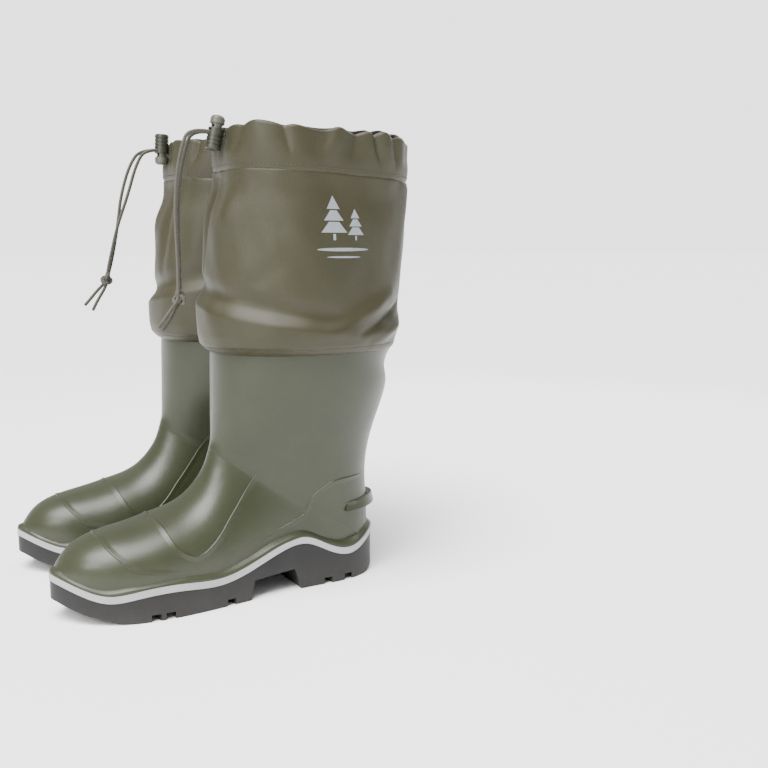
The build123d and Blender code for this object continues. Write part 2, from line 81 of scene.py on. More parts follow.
lamp("key", (1.25, 0.85, 1.0), (0.05, 0.03, 0.12), 0.7, 24)
lamp("back", (-1.0, -0.6, 0.9), (0, 0, 0.25), 0.7, 7)
sky = bpy.data.objects.new("skylight", bpy.data.lights.new("skylight", "SUN"))
sky.data.energy = 8.0
sky.data.angle = radians(40)
sky.rotation_euler = Vector((-0.42, -0.30, -1.35)).to_track_quat("-Z", "Y").to_euler()
bpy.context.collection.objects.link(sky)

FLOOR_HALF_WIDTH = 30
floor_mesh = bmesh.new()
bmesh.ops.create_grid(floor_mesh, x_segments=1, y_segments=1, size=FLOOR_HALF_WIDTH)
floor = bpy.data.objects.new("floor", bpy.data.meshes.new("floor"))
floor_mesh.to_mesh(floor.data)
floor_mesh.free()
bpy.context.collection.objects.link(floor)
paper = bpy.data.materials.new("white_paper")
paper.use_nodes = True
paper.node_tree.nodes["Principled BSDF"].inputs["Base Color"].default_value = (0.97, 0.97, 0.97, 1)
paper.node_tree.nodes["Principled BSDF"].inputs["Roughness"].default_value = 0.9
floor.data.materials.append(paper)


# ---- Outsole and rand ---------------------------------------------------------------------------
# A black cleated rubber sole is injected first; a thin grey band of softer rubber covers its joint
# with the upper. Both are kept as the frame has them, and get their rubber here.
def group(name, inputs, outputs):
    """A shader node group with those sockets, and its input and output nodes."""
    tree = bpy.data.node_groups.new(name, "ShaderNodeTree")
    for socket, kind, value in inputs:
        made = tree.interface.new_socket(name=socket, in_out="INPUT", socket_type=kind)
        if value is not None:
            made.default_value = value
    for socket, kind in outputs:
        tree.interface.new_socket(name=socket, in_out="OUTPUT", socket_type=kind)
    return tree, tree.nodes.new("NodeGroupInput"), tree.nodes.new("NodeGroupOutput")


def math_node(tree, operation, first, second=None, third=None):
    """A Math node fed by sockets or numbers; gives its output socket."""
    node = tree.nodes.new("ShaderNodeMath")
    node.operation = operation
    for socket, value in zip(node.inputs, (first, second, third)):
        if value is None:
            continue
        if isinstance(value, (int, float)):
            socket.default_value = value
        else:
            tree.links.new(value, socket)
    return node.outputs[0]


def mix_colours(tree, share, first, second):
    """A Mix node between two colours, each a socket or a tuple; gives its colour output."""
    node = tree.nodes.new("ShaderNodeMix")
    node.data_type = "RGBA"
    for socket, value in ((node.inputs[0], share), (node.inputs[6], first), (node.inputs[7], second)):
        if isinstance(value, bpy.types.NodeSocket):
            tree.links.new(value, socket)
        else:
            socket.default_value = value
    return node.outputs[2]


def noise(tree, vector, scale, detail=4.0, roughness=0.55):
    """A Noise texture on that vector; gives its factor. Scale is in turns per metre, or a socket."""
    node = tree.nodes.new("ShaderNodeTexNoise")
    node.inputs["Detail"].default_value = detail
    node.inputs["Roughness"].default_value = roughness
    if isinstance(scale, (int, float)):
        node.inputs["Scale"].default_value = scale
    else:
        tree.links.new(scale, node.inputs["Scale"])
    tree.links.new(vector, node.inputs["Vector"])
    return node.outputs["Fac"]


FLOAT, COLOUR, VECTOR = "NodeSocketFloat", "NodeSocketColor", "NodeSocketVector"

# Mottle: a material's colour drifts between two tones over the piece.
mottle, m_in, m_out = group(
    "mottle",
    (
        ("Vector", VECTOR, None), ("Tone", COLOUR, None), ("Other Tone", COLOUR, None),
        ("Scale", FLOAT, 20.0),
    ),
    (("Color", COLOUR), ("Mask", FLOAT)),
)
drift = noise(mottle, m_in.outputs["Vector"], m_in.outputs["Scale"], 5.0, 0.6)
sharper = math_node(mottle, "MULTIPLY_ADD", drift, 2.4, -0.7)
sharper.node.use_clamp = True
two_toned = mix_colours(mottle, sharper, m_in.outputs["Tone"], m_in.outputs["Other Tone"])
mottle.links.new(two_toned, m_out.inputs["Color"])
mottle.links.new(sharper, m_out.inputs["Mask"])

# Dust: pale dry dirt that lies thicker towards the ground and in uneven patches.
dust, d_in, d_out = group(
    "ground_dust",
    (("Vector", VECTOR, None), ("Color", COLOUR, None), ("Amount", FLOAT, 0.2), ("Height", FLOAT, 0.06)),
    (("Color", COLOUR), ("Mask", FLOAT)),
)
parts = dust.nodes.new("ShaderNodeSeparateXYZ")
dust.links.new(d_in.outputs["Vector"], parts.inputs[0])
low = math_node(dust, "DIVIDE", parts.outputs["Z"], d_in.outputs["Height"])
low = math_node(dust, "SUBTRACT", 1.0, low)
low.node.use_clamp = True
patches = noise(dust, d_in.outputs["Vector"], 45.0, 6.0, 0.65)
dirty = math_node(dust, "MULTIPLY", low, patches)
dirty = math_node(dust, "MULTIPLY", dirty, d_in.outputs["Amount"])
DRY_EARTH = (0.30, 0.27, 0.21, 1)
dust.links.new(mix_colours(dust, dirty, d_in.outputs["Color"], DRY_EARTH), d_out.inputs["Color"])
dust.links.new(dirty, d_out.inputs["Mask"])

# Grain: the fine leathery pebble that a mould leaves on rubber, with a slower unevenness under it.
grain, g_in, g_out = group(
    "moulded_grain",
    (("Vector", VECTOR, None), ("Scale", FLOAT, 900.0), ("Waviness", FLOAT, 0.5)),
    (("Height", FLOAT), ("Roughness", FLOAT)),
)
pebble = grain.nodes.new("ShaderNodeTexVoronoi")
pebble.feature = "SMOOTH_F1"
grain.links.new(g_in.outputs["Vector"], pebble.inputs["Vector"])
grain.links.new(g_in.outputs["Scale"], pebble.inputs["Scale"])
slow = noise(grain, g_in.outputs["Vector"], 35.0, 3.0)
slow_part = math_node(grain, "MULTIPLY", slow, g_in.outputs["Waviness"])
grain.links.new(math_node(grain, "ADD", pebble.outputs["Distance"], slow_part), g_out.inputs["Height"])
grain.links.new(slow, g_out.inputs["Roughness"])


def finish(name, roughness, **plain):
    """A new material and its tree, with plain values set on the shader's own sockets."""
    material = bpy.data.materials.new(name)
    material.use_nodes = True
    shader = material.node_tree.nodes["Principled BSDF"]
    shader.inputs["Roughness"].default_value = roughness
    for socket, value in plain.items():
        shader.inputs[socket.replace("_", " ")].default_value = value
    return material, material.node_tree, shader


def place_group(tree, shared, **values):
    """The shared group, placed in a material with its own values."""
    node = tree.nodes.new("ShaderNodeGroup")
    node.node_tree = shared
    for socket, value in values.items():
        target = node.inputs[socket.replace("_", " ")]
        if isinstance(value, bpy.types.NodeSocket):
            tree.links.new(value, target)
        else:
            target.default_value = value
    return node


def raise_surface(tree, shader, height, strength, depth):
    """Feeds a height to the shader's normal through a Bump node; depth is in metres."""
    bump = tree.nodes.new("ShaderNodeBump")
    bump.inputs["Strength"].default_value = strength
    bump.inputs["Distance"].default_value = depth
    tree.links.new(height, bump.inputs["Height"])
    tree.links.new(bump.outputs["Normal"], shader.inputs["Normal"])


def rubber(name, tone, other_tone, roughness, dust_amount, dust_height, grain_scale, **plain):
    """Moulded rubber or plastic: mottled colour, dust from the ground up, fine grain."""
    material, tree, shader = finish(name, roughness, **plain)
    where = tree.nodes.new("ShaderNodeTexCoord").outputs["Object"]
    coloured = place_group(tree, mottle, Vector=where, Tone=tone, Other_Tone=other_tone, Scale=26.0)
    dusted = place_group(
        tree, dust, Vector=where, Color=coloured.outputs["Color"], Amount=dust_amount, Height=dust_height
    )
    tree.links.new(dusted.outputs["Color"], shader.inputs["Base Color"])
    skin = place_group(tree, grain, Vector=where, Scale=grain_scale, Waviness=0.6)
    duller = math_node(tree, "MULTIPLY", dusted.outputs["Mask"], 0.5)
    uneven = math_node(tree, "MULTIPLY_ADD", skin.outputs["Roughness"], 0.16, roughness - 0.08)
    tree.links.new(math_node(tree, "ADD", uneven, duller), shader.inputs["Roughness"])
    raise_surface(tree, shader, skin.outputs["Height"], 0.22, 0.0004)
    return material


def repaint(node, material):
    """A frame node keeps its shape and takes this material."""
    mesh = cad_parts[node].data
    mesh.materials.clear()
    mesh.materials.append(material)


SIDES = {"left": 1, "right": -1}
sole_rubber = rubber(
    "sole_rubber", (0.007, 0.007, 0.0075, 1), (0.011, 0.0105, 0.011, 1), 0.5, 0.08, 0.03, 700.0,
    Specular_IOR_Level=0.3,
)
rand_rubber = rubber("rand_rubber", (0.36, 0.36, 0.375, 1), (0.30, 0.30, 0.31, 1), 0.45, 0.12, 0.05, 900.0)
for side in SIDES:
    repaint(f"{side}_outsole", sole_rubber)
    repaint(f"{side}_rand", rand_rubber)


# ---- Rubber upper -------------------------------------------------------------------------------
# One moulded polyurethane boot, foot and shaft in a piece, 4 mm thick and moss green. The edges of its
# moulded panels (toe cap, instep, heel counter, heel spur) stand up as soft-backed ridges.
green = rubber(
    "moss_rubber", (0.021, 0.0245, 0.0105, 1), (0.026, 0.030, 0.0135, 1), 0.38, 0.05, 0.09, 1100.0,
    Specular_IOR_Level=0.38, Coat_Weight=0.05, Coat_Roughness=0.3,
)
for side in SIDES:
    repaint(f"{side}_shell", green)

BOOT_TO_ROW = np.array((-134.8, 73.0, 0.0))


def in_row(points, sign):
    """Points from the boot's own millimetres (heel at X 0, toe forward, outer side at +Y) to the row."""
    moved = np.atleast_2d(points) + BOOT_TO_ROW
    moved[:, 1] *= sign
    return moved / 1000


def add_piece(name, bm, material, body):
    """The finished mesh as a smooth object that rides on a body and takes that material."""
    mesh = bpy.data.meshes.new(name)
    bm.to_mesh(mesh)
    bm.free()
    mesh.shade_smooth()
    mesh.materials.append(material)
    obj = bpy.data.objects.new(name, mesh)
    bpy.context.collection.objects.link(obj)
    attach(obj, body)
    return obj


def surface_of(obj):
    """The object's own mesh as a tree that can be asked for its nearest point."""
    bm = bmesh.new()
    bm.from_mesh(obj.data)
    tree = BVHTree.FromBMesh(bm)
    bm.free()
    return tree


def catmull(table, steps):
    """The rows of a table, and a smooth path through them, at those steps (0 at the first row)."""
    table = np.asarray(table, float)
    last = len(table) - 1
    cell = np.clip(np.floor(steps).astype(int), 0, last - 1)
    f = (steps - cell)[:, None]
    before, start = table[np.maximum(cell - 1, 0)], table[cell]
    end, after = table[cell + 1], table[np.minimum(cell + 2, last)]
    return 0.5 * (
        2 * start + (end - before) * f + (2 * before - 5 * start + 4 * end - after) * f ** 2
        + (3 * start - before - 3 * end + after) * f ** 3
    )


# Each line is a list of (X, Z) on the boot's flank in millimetres, from the top down; "over" lines start
# on the crest of the boot. The ridge fades out at an end marked True.
TOE_CAP = ((267, 69), (263, 61.5), (253, 51), (245, 45), (224, 40), (202, 38))
INSTEP = (
    (219, 80), (213, 69), (207, 58), (195, 50), (184, 51), (170, 61), (157, 75), (145, 88), (129, 108),
    (115, 129),
)
COUNTER = (
    (13, 98.5), (38, 99), (56, 97.5), (67.5, 91), (77, 83), (83, 71), (86, 67), (99, 62), (114, 56),
    (128, 50),
)
SPUR = ((47.5, 73), (34, 74.6), (20, 75.5), (8, 75))
# points, starts on the crest, fades at start, fades at end, which side of the line is the raised panel
PANEL_LINES = (
    (TOE_CAP, True, False, True, 1),
    (INSTEP, True, False, True, -1),
    (COUNTER, False, True, True, 1),
    (SPUR, False, True, True, -1),
)
# across the ridge and up from the rubber, in millimetres; its two edges lie under the surface
RIDGE_PROFILE = (
    (-0.9, -0.25), (-0.5, 0.35), (-0.1, 0.80), (0.4, 0.86), (1.2, 0.60), (3.2, 0.22), (6.0, -0.25),
)
RIDGE_STEP = 1.5
INSTEP_FROM, FOREFOOT_MIDDLE = 0.056, 0.042
FADE_LENGTH = 16.0


def outside_of(skin, point, sign):
    """The spot on the boot's outer face straight out from its middle through a point, and its normal."""
    middle = Vector((point.x, sign * BOOT_TO_ROW[1] / 1000, point.z))
    if point.x > INSTEP_FROM:
        middle.z = min(point.z, FOREFOOT_MIDDLE)
    way = (point - middle).normalized()
    return skin.ray_cast(middle + way * 0.2, -way)[:2]


def panel_edge(bm, skin, line, over, fade_start, fade_end, raised, flank, sign):
    """Adds one moulded panel edge: a strip laid on the rubber, raised by the ridge's profile."""
    hits = []
    for index, (x, z) in enumerate(line):
        if over and index == 0:
            start, way = in_row((x, 0, 200), sign)[0], Vector((0, 0, -1))
        else:
            start, way = in_row((x, 160 * flank, z), sign)[0], Vector((0, -flank * sign, 0))
        hit = skin.ray_cast(Vector(start), way)[0]
        if hit is not None:
            hits.append(hit)
    length = sum((b - a).length for a, b in zip(hits, hits[1:])) * 1000
    count = int(length / RIDGE_STEP)
    path = [Vector(p) for p in catmull(hits, np.linspace(0, len(hits) - 1, count))]
    rows = []
    for index, point in enumerate(path):
        ahead = path[min(index + 1, count - 1)] - path[max(index - 1, 0)]
        spot, normal = outside_of(skin, point, sign)
        across = normal.cross(ahead).normalized() * raised * flank * sign
        gone = index * RIDGE_STEP
        left = length - gone
        height = 1.0
        if fade_start:
            height *= min(1.0, gone / FADE_LENGTH)
        if fade_end:
            height *= min(1.0, left / (2 * FADE_LENGTH))
        row = []
        for offset, rise in RIDGE_PROFILE:
            on, up = skin.find_nearest(spot + across * offset / 1000)[:2]
            lift = rise if rise < 0 else rise * height - 0.25 * (1 - height)
            row.append(bm.verts.new(on + up * lift / 1000))
        rows.append(row)
    for first, second in zip(rows, rows[1:]):
        for a, b, c, d in zip(first, first[1:], second[1:], second):
            bm.faces.new((a, b, c, d))


# The foot of the upper flares out to a thin ledge that sits on the rand all round the boot.
SOLE_EDGE = (
    (0, 0), (8, 23), (30, 37.5), (80, 41.5), (125, 45), (165, 50.5), (208, 54.3), (250, 50), (282, 34.5),
    (300, 15), (305, 2), (300, -11), (286, -27), (255, -43), (212, -49), (170, -45.5), (130, -42),
    (80, -40.5), (30, -36.5), (8, -22),
)
RAND_LINE = (
    (-12, 41), (12, 38), (36, 28.5), (60, 34), (86, 45.5), (113, 41), (140, 31), (170, 24), (205, 26),
    (245, 24.5), (268, 22.5), (285, 28), (303, 36.5), (318, 41),
)
# out from the sole's edge and up from the rand's line; the last row lands on the upper itself
LEDGE_ROWS = ((-0.5, 1.0), (0.15, 3.2), (0.2, 4.4), (-0.5, 5.6), (-1.8, 6.6))
LEDGE_STEPS = 360


def face_outwards(bm):
    """Turns all faces round if they look at the mesh's middle."""
    bm.normal_update()
    middle = sum((vert.co for vert in bm.verts), Vector()) / len(bm.verts)
    if sum(face.normal.dot(face.calc_center_median() - middle) for face in bm.faces) < 0:
        bmesh.ops.reverse_faces(bm, faces=bm.faces)


def ledge(skin, sign):
    """The flare between the rand and the upper, as one closed band of rows."""
    count = len(SOLE_EDGE)
    around = np.array(SOLE_EDGE[-1:] + SOLE_EDGE + SOLE_EDGE[:2], float)
    edge = catmull(around, 1 + np.arange(LEDGE_STEPS) * count / LEDGE_STEPS)
    ahead = np.roll(edge, -1, 0) - np.roll(edge, 1, 0)
    out = np.column_stack((-ahead[:, 1], ahead[:, 0])) / np.linalg.norm(ahead, axis=1)[:, None]
    line = catmull(RAND_LINE, np.linspace(0, len(RAND_LINE) - 1, 200))
    height = np.interp(edge[:, 0], line[:, 0], line[:, 1])
    bm = bmesh.new()
    rows = []
    for grow, lift in LEDGE_ROWS:
        ring = np.column_stack((edge + out * grow, height + lift))
        rows.append([bm.verts.new(point) for point in in_row(ring, sign)])
    top = in_row(np.column_stack((edge - out * 3.0, height + 8.5)), sign)
    landed = []
    for point in top:
        spot, normal = skin.find_nearest(Vector(point))[:2]
        landed.append(bm.verts.new(spot - normal * 0.0003))
    rows.append(landed)
    for first, second in zip(rows, rows[1:]):
        for index in range(LEDGE_STEPS):
            after = (index + 1) % LEDGE_STEPS
            bm.faces.new((first[index], first[after], second[after], second[index]))
    bmesh.ops.recalc_face_normals(bm, faces=bm.faces)
    face_outwards(bm)
    return bm


for side, sign in SIDES.items():
    skin = surface_of(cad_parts[f"{side}_shell"])
    add_piece(f"{side}_rand_ledge", ledge(skin, sign), green, f"{side}_boot")
    ridges = bmesh.new()
    for line, over, fade_start, fade_end, raised in PANEL_LINES:
        for flank in (1, -1):
            panel_edge(ridges, skin, line, over, fade_start, fade_end, raised, flank, sign)
    for face in ridges.faces:
        face.normal_update()
        outward = skin.find_nearest(face.calc_center_median())[1]
        if face.normal.dot(outward) < 0:
            face.normal_flip()
    add_piece(f"{side}_panel_edges", ridges, green, f"{side}_boot")


# ---- Insole board and footbed -------------------------------------------------------------------
# A pressed fibre board closes the bottom of the boot; a loose felt footbed lies in the liner.
def flecked(name, roughness, tone, other_tone, scale, strength, depth, **plain):
    """A finish in small flecks of two tones; where strength isn't 0 they also stand up by depth metres."""
    material, tree, shader = finish(name, roughness, **plain)
    where = tree.nodes.new("ShaderNodeTexCoord").outputs["Object"]
    flecks = place_group(tree, mottle, Vector=where, Tone=tone, Other_Tone=other_tone, Scale=scale)
    tree.links.new(flecks.outputs["Color"], shader.inputs["Base Color"])
    if strength:
        raise_surface(tree, shader, flecks.outputs["Mask"], strength, depth)
    return material


board = flecked("fibre_board", 0.8, (0.30, 0.24, 0.16, 1), (0.20, 0.15, 0.10, 1), 320.0, 0.3, 0.0003)


def felt(name, tone, other_tone):
    """Pressed wool felt: matted fibres, soft sheen, no weave."""
    material, tree, shader = finish(name, 0.9, Sheen_Weight=0.4, Sheen_Roughness=0.5)
    where = tree.nodes.new("ShaderNodeTexCoord").outputs["Object"]
    wool = place_group(tree, mottle, Vector=where, Tone=tone, Other_Tone=other_tone, Scale=180.0)
    tree.links.new(wool.outputs["Color"], shader.inputs["Base Color"])
    fibres = noise(tree, where, 1400.0, 8.0, 0.75)
    raise_surface(tree, shader, fibres, 0.5, 0.0006)
    return material


grey_felt = felt("grey_felt", (0.16, 0.16, 0.155, 1), (0.24, 0.235, 0.22, 1))
dark_felt = felt("footbed_felt", (0.10, 0.10, 0.10, 1), (0.15, 0.148, 0.14, 1))
for side in SIDES:
    repaint(f"{side}_insole_board", board)
    repaint(f"{side}_footbed", dark_felt)


# ---- Felt liner ---------------------------------------------------------------------------------
# A pull-out bootee of 6 mm felt, foot and leg in one, that stands to just under the calf; its top edge
# is bound with tape. It fits inside the rubber with a little air round it.
LEG_AND_FOOT = (
    # front (X, Z), back (X, Z), outer half width, inner half width, widest point, front and back roundness
    (146.5, 300, -17, 300, 62.5, 62.5, 0.5, 2.1, 2.1),
    (150.5, 260, -15.5, 260, 64.5, 64.5, 0.5, 2.1, 2.1),
    (154, 219, -20, 219, 67.5, 67.5, 0.5, 2.1, 2.1),
    (155.5, 190, -15, 190, 63, 63, 0.5, 2.1, 2.1),
    (156.5, 165, -10.5, 165, 57, 57, 0.5, 2.1, 2.1),
    (157.3, 152.7, 3.5, 120, 49.5, 49.5, 0.48, 2.1, 2.1),
    (158.2, 142, 5.5, 80.4, 43.5, 43.5, 0.44, 2.1, 2.2),
    (159.5, 135.5, 4.7, 53.2, 39.5, 39.5, 0.40, 2.1, 2.4),
    (161.3, 129.5, 9, 30, 37.5, 37.5, 0.36, 2.1, 3.0),
    (163, 124.4, 37, 26, 36.5, 36.5, 0.33, 2.1, 4.0),
    (166.5, 114.8, 80.8, 26, 37.5, 37, 0.33, 2.1, 4.5),
    (172.3, 104.6, 120.6, 25, 41, 38.5, 0.33, 2.1, 4.5),
    (185, 91, 156.4, 20, 47, 43, 0.33, 2.1, 4.0),
    (200.5, 83, 188.8, 17, 50.5, 45.5, 0.33, 2.15, 4.0),
    (215, 79, 215, 16.5, 51.5, 46, 0.33, 2.2, 4.0),
    (236, 74, 236, 16.5, 50.5, 43.5, 0.34, 2.2, 4.0),
    (256, 70.5, 256, 17.5, 46, 40, 0.35, 2.2, 3.6),
    (272, 66.5, 272, 19.5, 39, 34.5, 0.37, 2.2, 3.2),
    (284, 61, 284, 22.5, 31, 27, 0.40, 2.2, 3.0),
)
LINER_GAP = 5.4
LINER_WALL = 6.0
SOLE_CLEARANCE = 1.6


def cross_section(stations, angle):
    """Points of a leg or foot section at an angle: 0 at the front, a quarter turn at the outer side."""
    front, back = stations[:, 0:2], stations[:, 2:4]
    outer, inner, widest, front_power, back_power = stations[:, 4:9].T
    chord = front - back
    length = np.linalg.norm(chord, axis=1)
    ahead, aside = np.cos(angle), np.sin(angle)
    power = np.where(ahead >= 0, front_power, back_power)
    reach = np.where(ahead >= 0, length * (1 - widest), length * widest)
    along = length * widest + reach * np.sign(ahead) * np.abs(ahead) ** (2 / power)
    across = np.where(aside >= 0, outer, inner) * np.sign(aside) * np.abs(aside) ** (2 / power)
    spot = back + chord * (along / np.maximum(length, 1e-6))[:, None]
    return np.column_stack((spot[:, 0], across, spot[:, 1]))


def drawn_in(stations, depth):
    """The same sections, smaller all round by a depth."""
    smaller = np.array(stations, float)
    chord = smaller[:, 0:2] - smaller[:, 2:4]
    way = chord / np.linalg.norm(chord, axis=1)[:, None] * np.reshape(depth, (-1, 1))
    smaller[:, 0:2] -= way
    smaller[:, 2:4] += way
    smaller[:, 4:6] -= np.reshape(depth, (-1, 1))
    return smaller


def cut_cloth(columns, rows, width, height):
    """A flat grid, one unit wide and high, whose UVs are the metres of a piece of that width and height."""
    bm = bmesh.new()
    cut = bm.loops.layers.uv.new("cut")
    bmesh.ops.create_grid(bm, x_segments=columns, y_segments=rows, size=0.5, calc_uvs=True)
    for face in bm.faces:
        for loop in face.loops:
            loop[cut].uv = ((loop.vert.co.x + 0.5) * width, (loop.vert.co.y + 0.5) * height)
    return bm


def sleeve(shape, around, along, size, sign):
    """A cut piece of that size (girth, height) in metres, rolled into a tube with its seam at the back;
    shape turns (turn, rise), each from 0 to 1, into points."""
    bm = cut_cloth(around, along, *size)
    grid = np.array([vert.co[:2] for vert in bm.verts]) + 0.5
    for vert, point in zip(bm.verts, in_row(shape(grid[:, 0], grid[:, 1]), sign)):
        vert.co = point
    bmesh.ops.remove_doubles(bm, verts=bm.verts, dist=1e-6)
    face_outwards(bm)
    return bm


def thicken(obj, thickness):
    """Gives a skin its wall, inwards."""
    wall = obj.modifiers.new("wall", "SOLIDIFY")
    wall.thickness = thickness
    wall.offset = -1
    wall.use_even_offset = True


liner_stations = drawn_in(LEG_AND_FOOT, LINER_GAP)
liner_stations[8:, 3] += SOLE_CLEARANCE
liner_toe = liner_stations[-1].copy()
liner_toe[0:6] = (286, 42, 286, 41, 0, 0)
liner_stations = np.vstack((liner_stations, liner_toe))
BINDING_HEIGHT = 9.0


def liner_shape(turn, rise):
    """The felt bootee from its toe to its top edge, a little uneven as felt is."""
    steps = (1 - rise) * (len(liner_stations) - 1)
    points = cross_section(catmull(liner_stations, steps), 2 * pi * turn + pi)
    points[:, 1] += 0.5 * np.sin(points[:, 2] / 17 + 3 * turn) * np.sin(2 * pi * turn)
    return points


def binding_shape(turn, rise):
    """The tape folded over the liner's top edge: outside, over and inside."""
    fold = 2 * pi * turn + pi
    inside = LINER_GAP - 0.8 + (LINER_WALL + 1.6) * np.clip((rise - 0.4) / 0.2, 0, 1)
    points = cross_section(drawn_in(np.repeat([LEG_AND_FOOT[0]], len(turn), 0), inside), fold)
    over = 1.2 * np.sin(pi * np.clip((rise - 0.4) / 0.2, 0, 1))
    drop = BINDING_HEIGHT * np.maximum(0, np.abs(rise - 0.5) - 0.1) / 0.4
    points[:, 2] = 300.4 + over - drop
    return points


# Weave: plain-woven threads that follow the cloth's own metres; pitch is one thread's width.
weave, w_in, w_out = group(
    "plain_weave", (("Vector", VECTOR, None), ("Pitch", FLOAT, 0.0006)), (("Height", FLOAT), ("Fibre", FLOAT))
)
cut_parts = weave.nodes.new("ShaderNodeSeparateXYZ")
weave.links.new(w_in.outputs["Vector"], cut_parts.inputs[0])
threads = []
for axis in ("X", "Y"):
    turns = math_node(weave, "DIVIDE", cut_parts.outputs[axis], w_in.outputs["Pitch"])
    threads.append(math_node(weave, "SINE", math_node(weave, "MULTIPLY", turns, pi)))
crossing = math_node(weave, "MULTIPLY", threads[0], threads[1])
fibre = noise(weave, w_in.outputs["Vector"], 2600.0, 3.0)
weave.links.new(math_node(weave, "MULTIPLY_ADD", crossing, 0.5, 0.5), w_out.inputs["Height"])
weave.links.new(fibre, w_out.inputs["Fibre"])


def cloth(name, tone, other_tone, roughness, pitch, strength, **plain):
    """Woven cloth in two close tones, with its threads as relief, and painted shade in the hollows between
    the threads (their crests painted lighter).
    """
    material, tree, shader = finish(name, roughness, **plain)
    coords = tree.nodes.new("ShaderNodeTexCoord")
    drifting = place_group(
        tree, mottle, Vector=coords.outputs["Object"], Tone=tone, Other_Tone=other_tone, Scale=22.0
    )
    woven = place_group(tree, weave, Vector=coords.outputs["UV"], Pitch=pitch)
    # Painted shade: the weave's height darkens the colour in its hollows and lightens it on its crests.
    weave_shade = math_node(tree, "MULTIPLY_ADD", woven.outputs["Height"], 0.22, 0.89)
    shaded_threads = tree.nodes.new("ShaderNodeVectorMath")
    shaded_threads.operation = "SCALE"
    tree.links.new(drifting.outputs["Color"], shaded_threads.inputs[0])
    tree.links.new(weave_shade, shaded_threads.inputs["Scale"])
    tree.links.new(shaded_threads.outputs[0], shader.inputs["Base Color"])
    rougher = math_node(tree, "MULTIPLY_ADD", woven.outputs["Fibre"], 0.2, roughness - 0.1)
    tree.links.new(rougher, shader.inputs["Roughness"])
    raise_surface(tree, shader, woven.outputs["Height"], strength, pitch)
    return material


tape = cloth("binding_tape", (0.03, 0.03, 0.03, 1), (0.045, 0.045, 0.044, 1), 0.7, 0.0008, 0.5)
for side, sign in SIDES.items():
    bm = sleeve(liner_shape, 96, 110, (0.42, 0.75), sign)
    liner = add_piece(f"{side}_felt_liner", bm, grey_felt, f"{side}_boot")
    thicken(liner, LINER_WALL / 1000)
    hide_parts(f"{side}_liner")
    bm = sleeve(binding_shape, 96, 20, (0.42, 0.024), sign)
    add_piece(f"{side}_liner_binding", bm, tape, f"{side}_boot")


# ---- Gaiter -------------------------------------------------------------------------------------
# A tube of coated nylon oxford cloth, olive brown with a satin face. Its lower edge is turned under and
# sewn to the rubber; the cloth sags into a soft roll above it and hangs in long shallow folds.
olive = cloth(
    "olive_oxford", (0.025, 0.0232, 0.0098, 1), (0.032, 0.0290, 0.0132, 1), 0.42, 0.00075, 0.22,
    Sheen_Weight=0.03, Sheen_Roughness=0.4, Specular_IOR_Level=0.32,
)
GAITER = np.array((
    # the same nine numbers as a leg section, from the drawcord hem's seam down to the rubber
    (142, 380.1, -29, 371.8, 65, 65, 0.5, 2.3, 2.3),
    (150.5, 345, -31.5, 345, 70, 70, 0.5, 2.2, 2.2),
    (156, 300, -29.5, 300, 72, 72, 0.5, 2.1, 2.1),
    (158, 262, -26.5, 262, 72, 72, 0.5, 2.1, 2.1),
    (157.5, 235, -24, 235, 71.5, 71.5, 0.5, 2.1, 2.1),
    (154.6, 219.4, -20.6, 219.4, 68.1, 68.1, 0.5, 2.1, 2.1),
))
GAITER_HEIGHTS = GAITER[:, 1]
GAITER_BOTTOM, GAITER_TOP = GAITER[-1, 1], 376.0
GAITER_LENGTH, CUT_LENGTH = 157, 159  # to the hem's seam, and with the edge that is tucked in under it
TUCK_FROM, TUCK_DEPTH = 154.5, 2.4
CLOTH_THICKNESS = 0.0007
HEM_HEIGHT = 38.0
HEM_FOLD = 3.0
HEM_HALF_LENGTH, HEM_HALF_WIDTH, HEM_CORNER = 85.5, 65.0, 54.0
HEM_CENTRE = np.array((56.5, 0.0, 376.0))
HEM_TILT = radians(2.8)
RIM_SLOPE = 0.0489  # rise of the tilted rim for each millimetre forward


def rim_outline(angle, inset):
    """The drawcord channel's rounded outline seen along the leg, in its own plane."""
    way = np.column_stack((np.cos(angle), np.sin(angle)))
    size = np.abs(way)
    half = np.array((HEM_HALF_LENGTH, HEM_HALF_WIDTH)) - np.reshape(inset, (-1, 1))
    radius = HEM_CORNER - inset
    corner = half - np.reshape(radius, (-1, 1))
    reach = np.sum(size * corner, axis=1)
    to_corner = reach + np.sqrt(np.maximum(reach ** 2 - np.sum(corner ** 2, axis=1) + radius ** 2, 0))
    to_side = half / np.maximum(size, 1e-9)
    on_end = to_side[:, 0] * size[:, 1] <= corner[:, 1]
    on_flank = to_side[:, 1] * size[:, 0] <= corner[:, 0]
    distance = np.where(on_end, to_side[:, 0], np.where(on_flank, to_side[:, 1], to_corner))
    return way * distance[:, None], way


# Each fold runs from (degrees from the front, Z) to (degrees, Z), and is so wide and so high, in mm.
FOLDS = (
    (-14, 290, -8, 374, 7, -2.6), (-25, 280, -20, 374, 9, 1.8), (12, 300, 22, 372, 15, 1.4),
    (44, 285, 38, 360, 18, -1.3), (70, 292, 76, 374, 15, 1.2), (103, 270, 112, 350, 14, -1.2),
    (88, 240, 128, 270, 7, 2.4), (104, 236, 148, 264, 4.5, -2.2), (116, 227, 152, 247, 6, 2.0),
    (136, 285, 142, 374, 11, 1.6), (160, 262, 172, 374, 10, -1.6), (-160, 250, -166, 360, 12, 1.5),
    (-140, 235, -100, 262, 7, 2.2), (-128, 290, -118, 372, 13, -1.5), (-95, 280, -88, 374, 14, 1.4),
    (-100, 238, -55, 258, 6, -2.0), (-62, 285, -70, 374, 15, -1.4), (-42, 300, -46, 372, 13, 1.3),
    (20, 262, 58, 296, 9, -0.9), (-20, 318, 40, 340, 12, 0.8), (60, 330, 120, 352, 12, -0.8),
)
FOLD_STRENGTH, RIGHT_BOOT_SHARE = 1.5, 0.85
MEAN_RADIUS = 83.0
